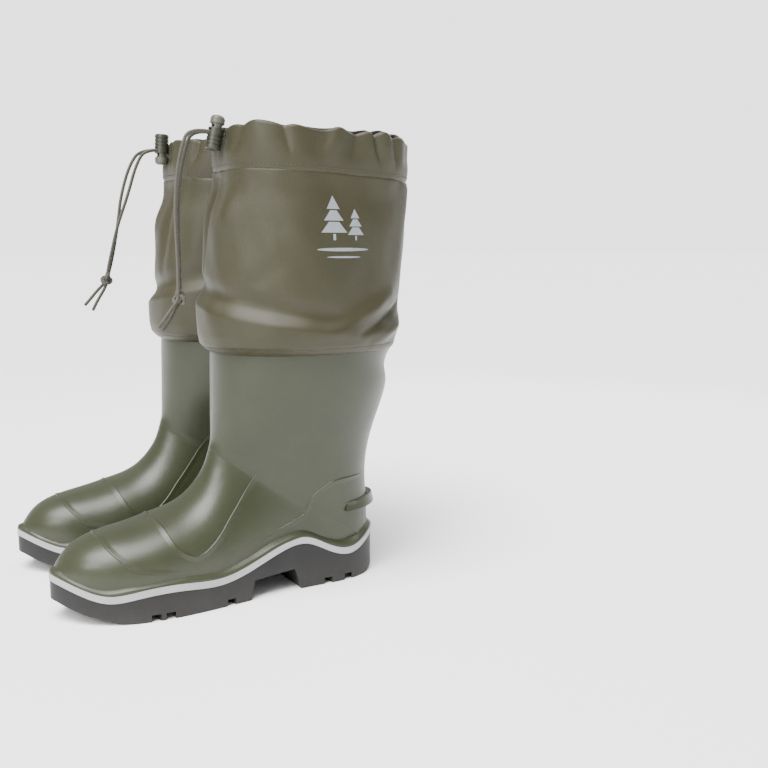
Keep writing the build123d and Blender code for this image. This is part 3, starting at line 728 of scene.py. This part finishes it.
ROLL_HEIGHT, CREASE_DEPTH, REAR_ROLL = 6.0, 2.6, 1.8


def wrapped(degrees):
    """An angle brought within half a turn of the front."""
    return (degrees + 180) % 360 - 180


def fold_relief(angle, z, sign):
    """How far the hanging cloth stands out at an angle (degrees from the front) and a height."""
    relief = 0.5 * np.sin(np.radians(3 * angle) + z / 31 + sign)
    relief += 0.35 * np.sin(np.radians(7 * angle) - z / 13)
    relief += 0.2 * np.sin(np.radians(17 * angle) + z / 9 + 2 * sign)
    for start, z0, end, z1, width, height in FOLDS:
        height *= FOLD_STRENGTH
        if sign < 0:
            start, end, height = start + 6, end - 5, height * RIGHT_BOOT_SHARE
        run = np.array(((end - start) * pi / 180 * MEAN_RADIUS, z1 - z0))
        away = np.stack((np.radians(wrapped(angle - start)) * MEAN_RADIUS, z - z0))
        share = np.clip((away[0] * run[0] + away[1] * run[1]) / (run @ run), 0, 1)
        gap = np.hypot(away[0] - share * run[0], away[1] - share * run[1])
        relief += height * np.exp(-(gap / width) ** 2) * (0.45 + 0.55 * np.sin(pi * share))
    # the sagging roll over the lower front: a crease line that drops from the front to the outer side
    crease = 276 - 0.235 * (angle + 28)
    window = np.clip((angle + 75) / 40, 0, 1) * np.clip((112 - angle) / 40, 0, 1)
    down = np.clip((crease - z) / 13, 0, 1)
    roll = down ** 2 * (3 - 2 * down)
    above = np.exp(-((z - crease - 4) / 7) ** 2)
    relief += window * (ROLL_HEIGHT * roll - CREASE_DEPTH * above)
    rear = np.clip(np.abs(wrapped(angle - 180)) / 60, 0, 1)
    low_roll = np.exp(-((z - 238) / 9) ** 2)
    return relief + REAR_ROLL * low_roll * (1 - window) * (0.5 + 0.5 * rear)


def ruffle(angle):
    """The gathers of the drawn-up rim: 1 on a crest and 0 in a valley, uneven, and flat at the eyelet."""
    a = np.radians(angle)
    phase = 8 * a + 0.9 * np.sin(3 * a + 0.7) + 0.7 * np.sin(5 * a + 2.1) + 0.3 * np.sin(13 * a)
    crest = (np.sin(phase) ** 2 + 0.01) ** 0.42
    size = 0.70 + 0.20 * np.sin(4 * a + 0.4) + 0.18 * np.sin(9 * a + 1.3)
    at_eyelet = np.exp(-((wrapped(angle) - 5) / 9) ** 2)
    return crest * size * (1 - at_eyelet)


def gaiter_base(turn, z, inset):
    """The gaiter's smooth body at a height, its points and its outward direction."""
    angle = 2 * pi * turn + pi
    steps = np.interp(z, GAITER_HEIGHTS[::-1], np.arange(len(GAITER))[::-1])
    stations = drawn_in(catmull(GAITER, steps), np.broadcast_to(inset, z.shape))
    points = cross_section(stations, angle)
    square = np.clip((z - 335) / 38, 0, 1)
    square = (square ** 2 * (3 - 2 * square))[:, None]
    polar = np.arctan2(points[:, 1], points[:, 0] - HEM_CENTRE[0])
    rim = rim_outline(polar, np.broadcast_to(inset, z.shape))[0]
    points[:, 0:2] = points[:, 0:2] * (1 - square) + (rim + HEM_CENTRE[0:2]) * square
    centre = (stations[:, 0] + stations[:, 2]) / 2
    outward = np.column_stack((points[:, 0] - centre, points[:, 1], np.zeros(len(z))))
    outward /= np.linalg.norm(outward, axis=1)[:, None]
    return points, outward


def leaning_height(x, z):
    """The height of cloth that is level at the rubber and tilted like the rim at the top."""
    tilt = (z - GAITER_BOTTOM) / (GAITER_TOP - GAITER_BOTTOM)
    return z + tilt * (x - HEM_CENTRE[0]) * RIM_SLOPE


def gaiter_shape_for(sign):
    """The gaiter of one boot, with that boot's own folds."""
    def shape(turn, rise):
        z = GAITER_BOTTOM - 1.2 + (GAITER_TOP - GAITER_BOTTOM + 3.5) * rise
        points, outward = gaiter_base(turn, np.clip(z, GAITER_BOTTOM, GAITER_HEIGHTS[0]), 0)
        angle = wrapped(360 * turn + 180)
        tight = np.clip(rise / 0.05, 0, 1) * np.clip((1 - rise) / 0.06, 0, 1)
        relief = fold_relief(angle, z, sign) * tight
        relief += 1.2 * ruffle(angle) * np.exp(-((1 - rise) * GAITER_LENGTH / 13) ** 2)
        relief += 1.3 - 1.9 * np.exp(-(rise * GAITER_LENGTH / 1.6) ** 2)
        relief -= TUCK_DEPTH * np.clip((rise * CUT_LENGTH - TUCK_FROM) / 2.5, 0, 1)
        points += outward * relief[:, None]
        points[:, 2] = leaning_height(points[:, 0], z)
        return points
    return shape


gaiters = {}
for side, sign in SIDES.items():
    bm = sleeve(gaiter_shape_for(sign), 260, 170, (0.54, 0.165), sign)
    gaiter = add_piece(f"{side}_gaiter_cloth", bm, olive, f"{side}_boot")
    thicken(gaiter, CLOTH_THICKNESS)
    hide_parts(f"{side}_gaiter")
    gaiters[side] = gaiter


# ---- Drawcord hem -------------------------------------------------------------------------------
# The gaiter's top edge is a second strip of the same cloth, folded over as a channel for the drawcord
# and sewn down along its lower edge. Drawing the cord up gathers the rim into ruffles.
RUFFLE_OUT, RUFFLE_DOWN = 5.6, 5.0
OUTSIDE_SHARE = 0.86  # of the strip; the rest turns over the rim and inside


def hem_points(turn, height, inset, gathers):
    """Points of the channel at a height over its seam; gathers says how much the ruffles show there."""
    angle = 2 * pi * turn + pi
    degrees = wrapped(np.degrees(angle))
    sway = degrees + 7.0 * (1 - height / HEM_HEIGHT) * np.sin(np.radians(5 * degrees) + 0.5)
    crest = ruffle(sway)
    flat, way = rim_outline(angle, inset)
    bulge = 1.6 * np.sin(pi * np.clip(height / 30, 0, 1))
    out = (RUFFLE_OUT * crest - 0.5) * gathers + bulge * (1 - gathers)
    flat = flat + way * out[:, None]
    lift = height - RUFFLE_DOWN * (1 - crest) * gathers ** 2
    lift += 0.8 * np.sin(np.radians(2 * degrees) + 1) * gathers
    points = np.empty((len(turn), 3))
    points[:, 0] = HEM_CENTRE[0] + flat[:, 0] * cos(HEM_TILT) - lift * sin(HEM_TILT)
    points[:, 1] = flat[:, 1]
    points[:, 2] = HEM_CENTRE[2] + flat[:, 0] * sin(HEM_TILT) + lift * cos(HEM_TILT)
    return points


def hem_shape(turn, rise):
    """The strip from its sewn lower edge up the outside, over the rim and just inside it."""
    outside = np.clip(rise / OUTSIDE_SHARE, 0, 1)
    over = np.clip((rise - OUTSIDE_SHARE) / 0.14, 0, 1) * 0.62 * pi
    height = -1.5 + (HEM_HEIGHT - HEM_FOLD + 3.5) * outside + HEM_FOLD * np.sin(over) - 1.2
    inset = HEM_FOLD * (1 - np.cos(over))
    gathers = np.clip((outside - 0.12) / 0.7, 0, 1)
    gathers = gathers ** 2 * (3 - 2 * gathers)
    edge = np.exp(-(rise * HEM_HEIGHT / 1.5) ** 2)
    return hem_points(turn, height, inset + 1.0 * edge - 1.6, gathers)


THREAD_HALF = (0.00030, 0.00034)


def stitch_row(name, place_at, count, length, body, sign):
    """A row of thread stitches laid along place_at(turn), an array function of the way round."""
    bm = bmesh.new()
    turns = (np.arange(count) + 0.5) / count
    nearby = 0.25 / count
    starts = in_row(place_at(turns - nearby), sign)
    ends = in_row(place_at(turns + nearby), sign)
    for start, end in zip(starts, ends):
        middle, along = Vector((start + end) / 2), Vector(end - start)
        turned = along.to_track_quat("X", "Z").to_matrix().to_4x4()
        shape = Matrix.Translation(middle) @ turned @ Matrix.Diagonal((length / 2, *THREAD_HALF, 1))
        bmesh.ops.create_icosphere(bm, subdivisions=1, radius=1, matrix=shape)
    return add_piece(name, bm, thread, body)


thread = cloth("olive_thread", (0.036, 0.032, 0.017, 1), (0.050, 0.044, 0.025, 1), 0.55, 0.0003, 0.3)
for side, sign in SIDES.items():
    bm = sleeve(hem_shape, 480, 60, (0.58, 0.052), sign)
    hem = add_piece(f"{side}_drawcord_hem", bm, olive, f"{side}_boot")
    thicken(hem, CLOTH_THICKNESS)
    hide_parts(f"{side}_hem")

    def on_hem(turn):
        return hem_points(turn, np.full(len(turn), 2.6), np.full(len(turn), -2.0), np.zeros(len(turn)))

    def on_gaiter(turn, sign=sign):
        points = gaiter_shape_for(sign)(turn, np.full(len(turn), 0.035))
        middle = np.array((67.0, 0.0, 0.0))
        outward = (points - middle) * (1, 1, 0)
        return points + 0.15 * outward / np.linalg.norm(outward, axis=1)[:, None]

    upper = stitch_row(f"{side}_hem_stitches", on_hem, 140, 0.0024, f"{side}_boot", sign)
    stitch_row(f"{side}_cuff_stitches", on_gaiter, 150, 0.0023, f"{side}_boot", sign)


# ---- Gaiter lining ------------------------------------------------------------------------------
# Thin black taffeta lines the gaiter, from inside the rim down to the rubber, and is gathered with it.
black_taffeta = cloth(
    "black_taffeta", (0.010, 0.010, 0.011, 1), (0.017, 0.017, 0.018, 1), 0.5, 0.0004, 0.2, Sheen_Weight=0.2
)
LINING_GAP = 3.0
LINING_BOTTOM = 222.0


LEG_SHARE = 0.80  # of the lining lies along the leg, the rest behind the drawcord channel


def lining_shape_for(sign):
    """One boot's lining, inside the gaiter's folds and then inside the drawcord channel."""
    def shape(turn, rise):
        z = LINING_BOTTOM + (GAITER_TOP - 3 - LINING_BOTTOM) * np.clip(rise / LEG_SHARE, 0, 1)
        leg, outward = gaiter_base(turn, np.clip(z, GAITER_BOTTOM, GAITER_HEIGHTS[0]), LINING_GAP)
        angle = wrapped(360 * turn + 180)
        wrinkles = 0.5 * np.minimum(fold_relief(angle, z, sign), 1.5)
        leg += outward * wrinkles[:, None]
        leg[:, 2] = leaning_height(leg[:, 0], z)
        above = np.clip((rise - LEG_SHARE) / (1 - LEG_SHARE), 0, 1)
        rearward = 0.5 - 0.5 * np.cos(np.radians(angle - 25))
        top = HEM_HEIGHT - 1.6 + 5.4 * rearward + 0.7 * np.sin(np.radians(7 * angle)) * rearward
        inset = 6.9 - 3.3 * np.clip((above - 0.84) / 0.16, 0, 1)
        channel = hem_points(turn, top * above, inset, 0.62 * np.clip((above - 0.2) / 0.6, 0, 1))
        blend = np.clip(above / 0.12, 0, 1)[:, None]
        return leg * (1 - blend) + channel * blend
    return shape


for side, sign in SIDES.items():
    bm = sleeve(lining_shape_for(sign), 320, 120, (0.52, 0.19), sign)
    lining = add_piece(f"{side}_black_lining", bm, black_taffeta, f"{side}_boot")
    thicken(lining, 0.0004)
    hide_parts(f"{side}_gaiter_lining")


# ---- Label --------------------------------------------------------------------------------------
# A plain black woven tape, folded in half and caught in the gaiter's back seam.
LABEL_ROOT, LABEL_FOLD = -25.0, -35.4
LABEL_BOTTOM, LABEL_TOP = 235.0, 262.0
LABEL_LEAF = 0.55
black_tape = cloth("black_tape", (0.008, 0.008, 0.009, 1), (0.014, 0.014, 0.015, 1), 0.6, 0.0005, 0.4)
for side, sign in SIDES.items():
    bm = cut_cloth(30, 14, 0.022, 0.027)
    for vert in bm.verts:
        along, up = vert.co.x * 2, vert.co.y + 0.5
        reach = min(1.0, (1 - abs(along)) / 0.92)
        turned = max(0.0, 1 - abs(along) / 0.08)
        x = LABEL_ROOT + (LABEL_FOLD - LABEL_ROOT) * reach - 0.4 * turned
        leaf = LABEL_LEAF * (1 if along > 0 else -1) * (1 - turned) ** 0.5
        z = LABEL_BOTTOM + (LABEL_TOP - LABEL_BOTTOM) * up
        bend = 0.8 * reach * sin(up * 2.6)
        vert.co = Vector(in_row((x, leaf + bend, z), sign)[0])
    bmesh.ops.recalc_face_normals(bm, faces=bm.faces)
    label = add_piece(f"{side}_back_label", bm, black_tape, f"{side}_boot")
    wall = label.modifiers.new("wall", "SOLIDIFY")
    wall.thickness = 0.00035
    wall.offset = 0
    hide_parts(f"{side}_label")


# ---- Printed emblem -----------------------------------------------------------------------------
# A grey transfer print on the gaiter's outer side: two small conifers over a plain bar.
ink = flecked("grey_ink", 0.5, (0.22, 0.235, 0.255, 1), (0.18, 0.195, 0.21, 1), 240.0, 0.15, 0.0001)


# foot and top as shares of the height, half widths there as shares of the width: trunk, three tiers
CONIFER = ((0, 0.14, 0.05, 0.05), (0.17, 0.41, 0.50, 0.20), (0.44, 0.67, 0.38, 0.13), (0.70, 1.0, 0.26, 0.0))


def conifer(x, foot, height, width):
    """A conifer as four outlines in (X, Z), with a narrow gap between its tiers."""
    outlines = []
    for low, high, wide, narrow in CONIFER:
        outline = [(x - wide * width, foot + low * height), (x + wide * width, foot + low * height)]
        outline.append((x + narrow * width, foot + high * height))
        if narrow:
            outline.append((x - narrow * width, foot + high * height))
        outlines.append(outline)
    return outlines


def bar(x, z, length, thickness):
    """A long bar with tapering ends, as an outline in (X, Z)."""
    turns = [2 * pi * step / 40 for step in range(40)]
    return [(x + length / 2 * cos(t), z + thickness / 2 * sin(t)) for t in turns]


PRINT_SHAPES = (
    *conifer(69, 318, 38, 25), *conifer(47.5, 318, 27, 17), bar(60, 310, 52, 3.0), bar(60, 303.5, 34, 1.6),
)
for side, sign in SIDES.items():
    skin = surface_of(gaiters[side])
    bm = bmesh.new()
    for outline in PRINT_SHAPES:
        bm.faces.new([bm.verts.new((x, 0, z)) for x, z in outline])
    bmesh.ops.triangulate(bm, faces=bm.faces)
    for axis, low, high in ((0, 30, 90), (2, 298, 360)):
        for cut_at in range(low, high, 2):
            spot, normal = [0, 0, 0], [0, 0, 0]
            spot[axis], normal[axis] = cut_at, 1
            everything = bm.verts[:] + bm.edges[:] + bm.faces[:]
            bmesh.ops.bisect_plane(bm, geom=everything, plane_co=spot, plane_no=normal, dist=1e-4)
    for vert in bm.verts:
        start = in_row((vert.co.x, 160, vert.co.z), sign)[0]
        hit, normal = skin.ray_cast(Vector(start), Vector((0, -sign, 0)))[:2]
        vert.co = hit + normal * 0.00012
    bm.normal_update()
    for face in bm.faces:
        if face.normal.y * sign < 0:
            face.normal_flip()
    add_piece(f"{side}_print", bm, ink, f"{side}_boot")


# ---- Eyelet, cord lock and spring ---------------------------------------------------------------
# A rolled metal eyelet lets the cord out of the channel. The lock's barrel slides on both cords; its
# plunger, pushed against a steel spring, frees them.
blackened = flecked(
    "blackened_brass", 0.38, (0.12, 0.11, 0.09, 1), (0.26, 0.23, 0.17, 1), 420.0, 0.15, 0.0001, Metallic=1.0
)
lock_plastic = rubber(
    "lock_plastic", (0.018, 0.019, 0.010, 1), (0.024, 0.025, 0.014, 1), 0.42, 0.0, 0.05, 2200.0
)
plunger_plastic = rubber(
    "plunger_plastic", (0.060, 0.062, 0.044, 1), (0.078, 0.080, 0.058, 1), 0.40, 0.0, 0.05, 2200.0
)
steel = flecked(
    "spring_steel", 0.28, (0.50, 0.50, 0.50, 1), (0.62, 0.61, 0.60, 1), 900.0, 0, 0, Metallic=1.0
)
for side in SIDES:
    repaint(f"{side}_eyelet", blackened)
    repaint(f"{side}_lock_barrel", lock_plastic)
    repaint(f"{side}_lock_plunger", plunger_plastic)
    repaint(f"{side}_lock_spring", steel)


# ---- Drawcords ----------------------------------------------------------------------------------
# One braided nylon cord, 3.2 mm thick, runs round the channel; its two ends leave by the eyelet, pass
# the lock and hang down to a common knot, with short tails under it, melted at their tips.
def braid(name, tone, other_tone, turns_along, turns_round):
    """Braided cord: crossing diagonal strands that follow the cord's own length and girth; its colour is
    painted shade, dark in the grooves between the strands and light on their crests.
    """
    material, tree, shader = finish(name, 0.6, Sheen_Weight=0.25)
    uv = tree.nodes.new("ShaderNodeSeparateXYZ")
    tree.links.new(tree.nodes.new("ShaderNodeTexCoord").outputs["UV"], uv.inputs[0])
    along = math_node(tree, "MULTIPLY", uv.outputs["X"], turns_along * 2 * pi)
    round_ = math_node(tree, "MULTIPLY", uv.outputs["Y"], turns_round * 2 * pi)
    one = math_node(tree, "SINE", math_node(tree, "ADD", along, round_))
    other = math_node(tree, "SINE", math_node(tree, "SUBTRACT", along, round_))
    strands = math_node(tree, "MULTIPLY", one, other)
    # Painted shade: the strands' height picks the colour, the darker tone in the grooves and the lighter one
    # on the crests.
    share = math_node(tree, "MULTIPLY_ADD", strands, 0.5, 0.5)
    tree.links.new(mix_colours(tree, share, tone, other_tone), shader.inputs["Base Color"])
    raise_surface(tree, shader, strands, 0.6, 0.0003)
    return material


CORD_WIDTH = 0.0032
# The darker colour is the painted shade in the braid's grooves, the lighter one its crests.
cord_braid = braid("olive_braid", (0.018, 0.017, 0.009, 1), (0.050, 0.046, 0.026, 1), 90, 3)
for side in SIDES:
    repaint(f"{side}_drawcord_loop", cord_braid)
# routes in the boot's own millimetres, from the eyelet to the tip of the tail
ROUTES = {
    "left_cord_a": (
        (141.41, 7.75, 408.33), (173.5, 7.75, 415.15), (182, 6.5, 394), (185.5, 3, 368), (186, -0.5, 338),
        (183.72, -4.11, 306), (183.72, -4.11, 274), (184.5, -4, 265.5), (190.5, -5, 258), (195.5, -7, 250),
        (201, -9, 242.5),
    ),
    "left_cord_b": (
        (141.41, 4.25, 408.33), (169.5, 4.25, 414.30), (177, 2, 393), (181.5, -1, 367), (182.5, -4, 338),
        (181.28, -6.89, 306), (181.28, -6.89, 274), (182, -7.8, 264), (187, -8.8, 255.5), (191, -10, 247),
        (196.5, -11.5, 239.5),
    ),
    "right_cord_a": (
        (141.43, 7.75, 408.19), (168.5, 7.75, 409.61), (181, 9, 393), (190.5, 10, 362), (194, 11.5, 335),
        (198.69, 12.46, 309.16), (203.97, 14.38, 285.83), (209, 15.8, 275.5), (216.5, 17, 268),
        (222.5, 18, 260.5), (228, 19, 254.3),
    ),
    "right_cord_b": (
        (141.43, 4.25, 408.19), (165, 4.25, 409.42), (175.5, 4.5, 393.5), (185, 5, 362), (195.5, 6.5, 334),
        (201.15, 9.71, 309.50), (206.43, 11.63, 286.17), (207.2, 12.2, 275), (212, 13, 266.5),
        (217.5, 13.5, 257.5), (221.6, 14, 249.3),
    ),
}
KNOTS = {
    "left": ((182.5, -5.5, 268.0), (0.10, 0.0, -0.995)),
    "right": ((206.5, 13.5, 280.2), (0.22, 0.08, -0.972)),
}
KNOT_SCALE = (0.00165, 0.0021, 0.0012)
KNOT_STEPS = 30


def tube(name, points, width, closed=False):
    """A round cord along control points, smoothed as one spline."""
    curve = bpy.data.curves.new(name, "CURVE")
    curve.dimensions = "3D"
    curve.bevel_depth = width / 2
    curve.bevel_resolution = 4
    curve.resolution_u = 10
    curve.use_fill_caps = True
    spline = curve.splines.new("NURBS")
    spline.points.add(len(points) - 1)
    for target, point in zip(spline.points, points):
        target.co = (*point, 1)
    spline.order_u = 3
    if closed:
        spline.use_cyclic_u = True
    else:
        spline.use_endpoint_u = True
    obj = bpy.data.objects.new(name, curve)
    bpy.context.collection.objects.link(obj)
    return obj


def knot_loops(centre, axis, sign):
    """A doubled overhand knot: two parallel loops of a three-lobed knot, flattened along its face."""
    down = Vector((axis[0], axis[1] * sign, axis[2])).normalized()
    face = Vector((0.5, 0.866 * sign, 0))
    across = down.cross(face).normalized()
    face = across.cross(down).normalized()
    middle = Vector(in_row(centre, sign)[0])
    loops = []
    for offset in (-0.38, 0.38):
        points = []
        for step in range(KNOT_STEPS):
            t = 2 * pi * step / KNOT_STEPS
            x = (sin(t) + 2 * sin(2 * t)) * (1 + 0.12 * offset)
            y = (cos(t) - 2 * cos(2 * t)) * (1 + 0.12 * offset)
            z = -sin(3 * t) * 1.25 + offset * 2.1
            wide, high, deep = x * KNOT_SCALE[0], y * KNOT_SCALE[1], z * KNOT_SCALE[2]
            points.append(middle + across * wide + down * high + face * deep)
        loops.append(points)
    return loops


for side, sign in SIDES.items():
    body = f"{side}_boot"
    knot_mesh = bmesh.new()
    for points in knot_loops(*KNOTS[side], sign):
        loop = tube("knot_path", points, CORD_WIDTH * 0.92, closed=True)
        baked = bpy.data.meshes.new_from_object(loop)
        knot_mesh.from_mesh(baked)
        bpy.data.objects.remove(loop)
        bpy.data.meshes.remove(baked)
    knot = add_piece(f"{side}_cord_knot", knot_mesh, cord_braid, body)
    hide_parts(f"{side}_knot")
    for strand in ("a", "b"):
        name = f"{side}_cord_{strand}"
        route = in_row(np.array(ROUTES[name]), sign)
        cord = tube(f"{side}_drawcord_{strand}", route, CORD_WIDTH)
        cord.data.materials.append(cord_braid)
        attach(cord, body)
        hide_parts(name, f"{side}_tail_{strand}")
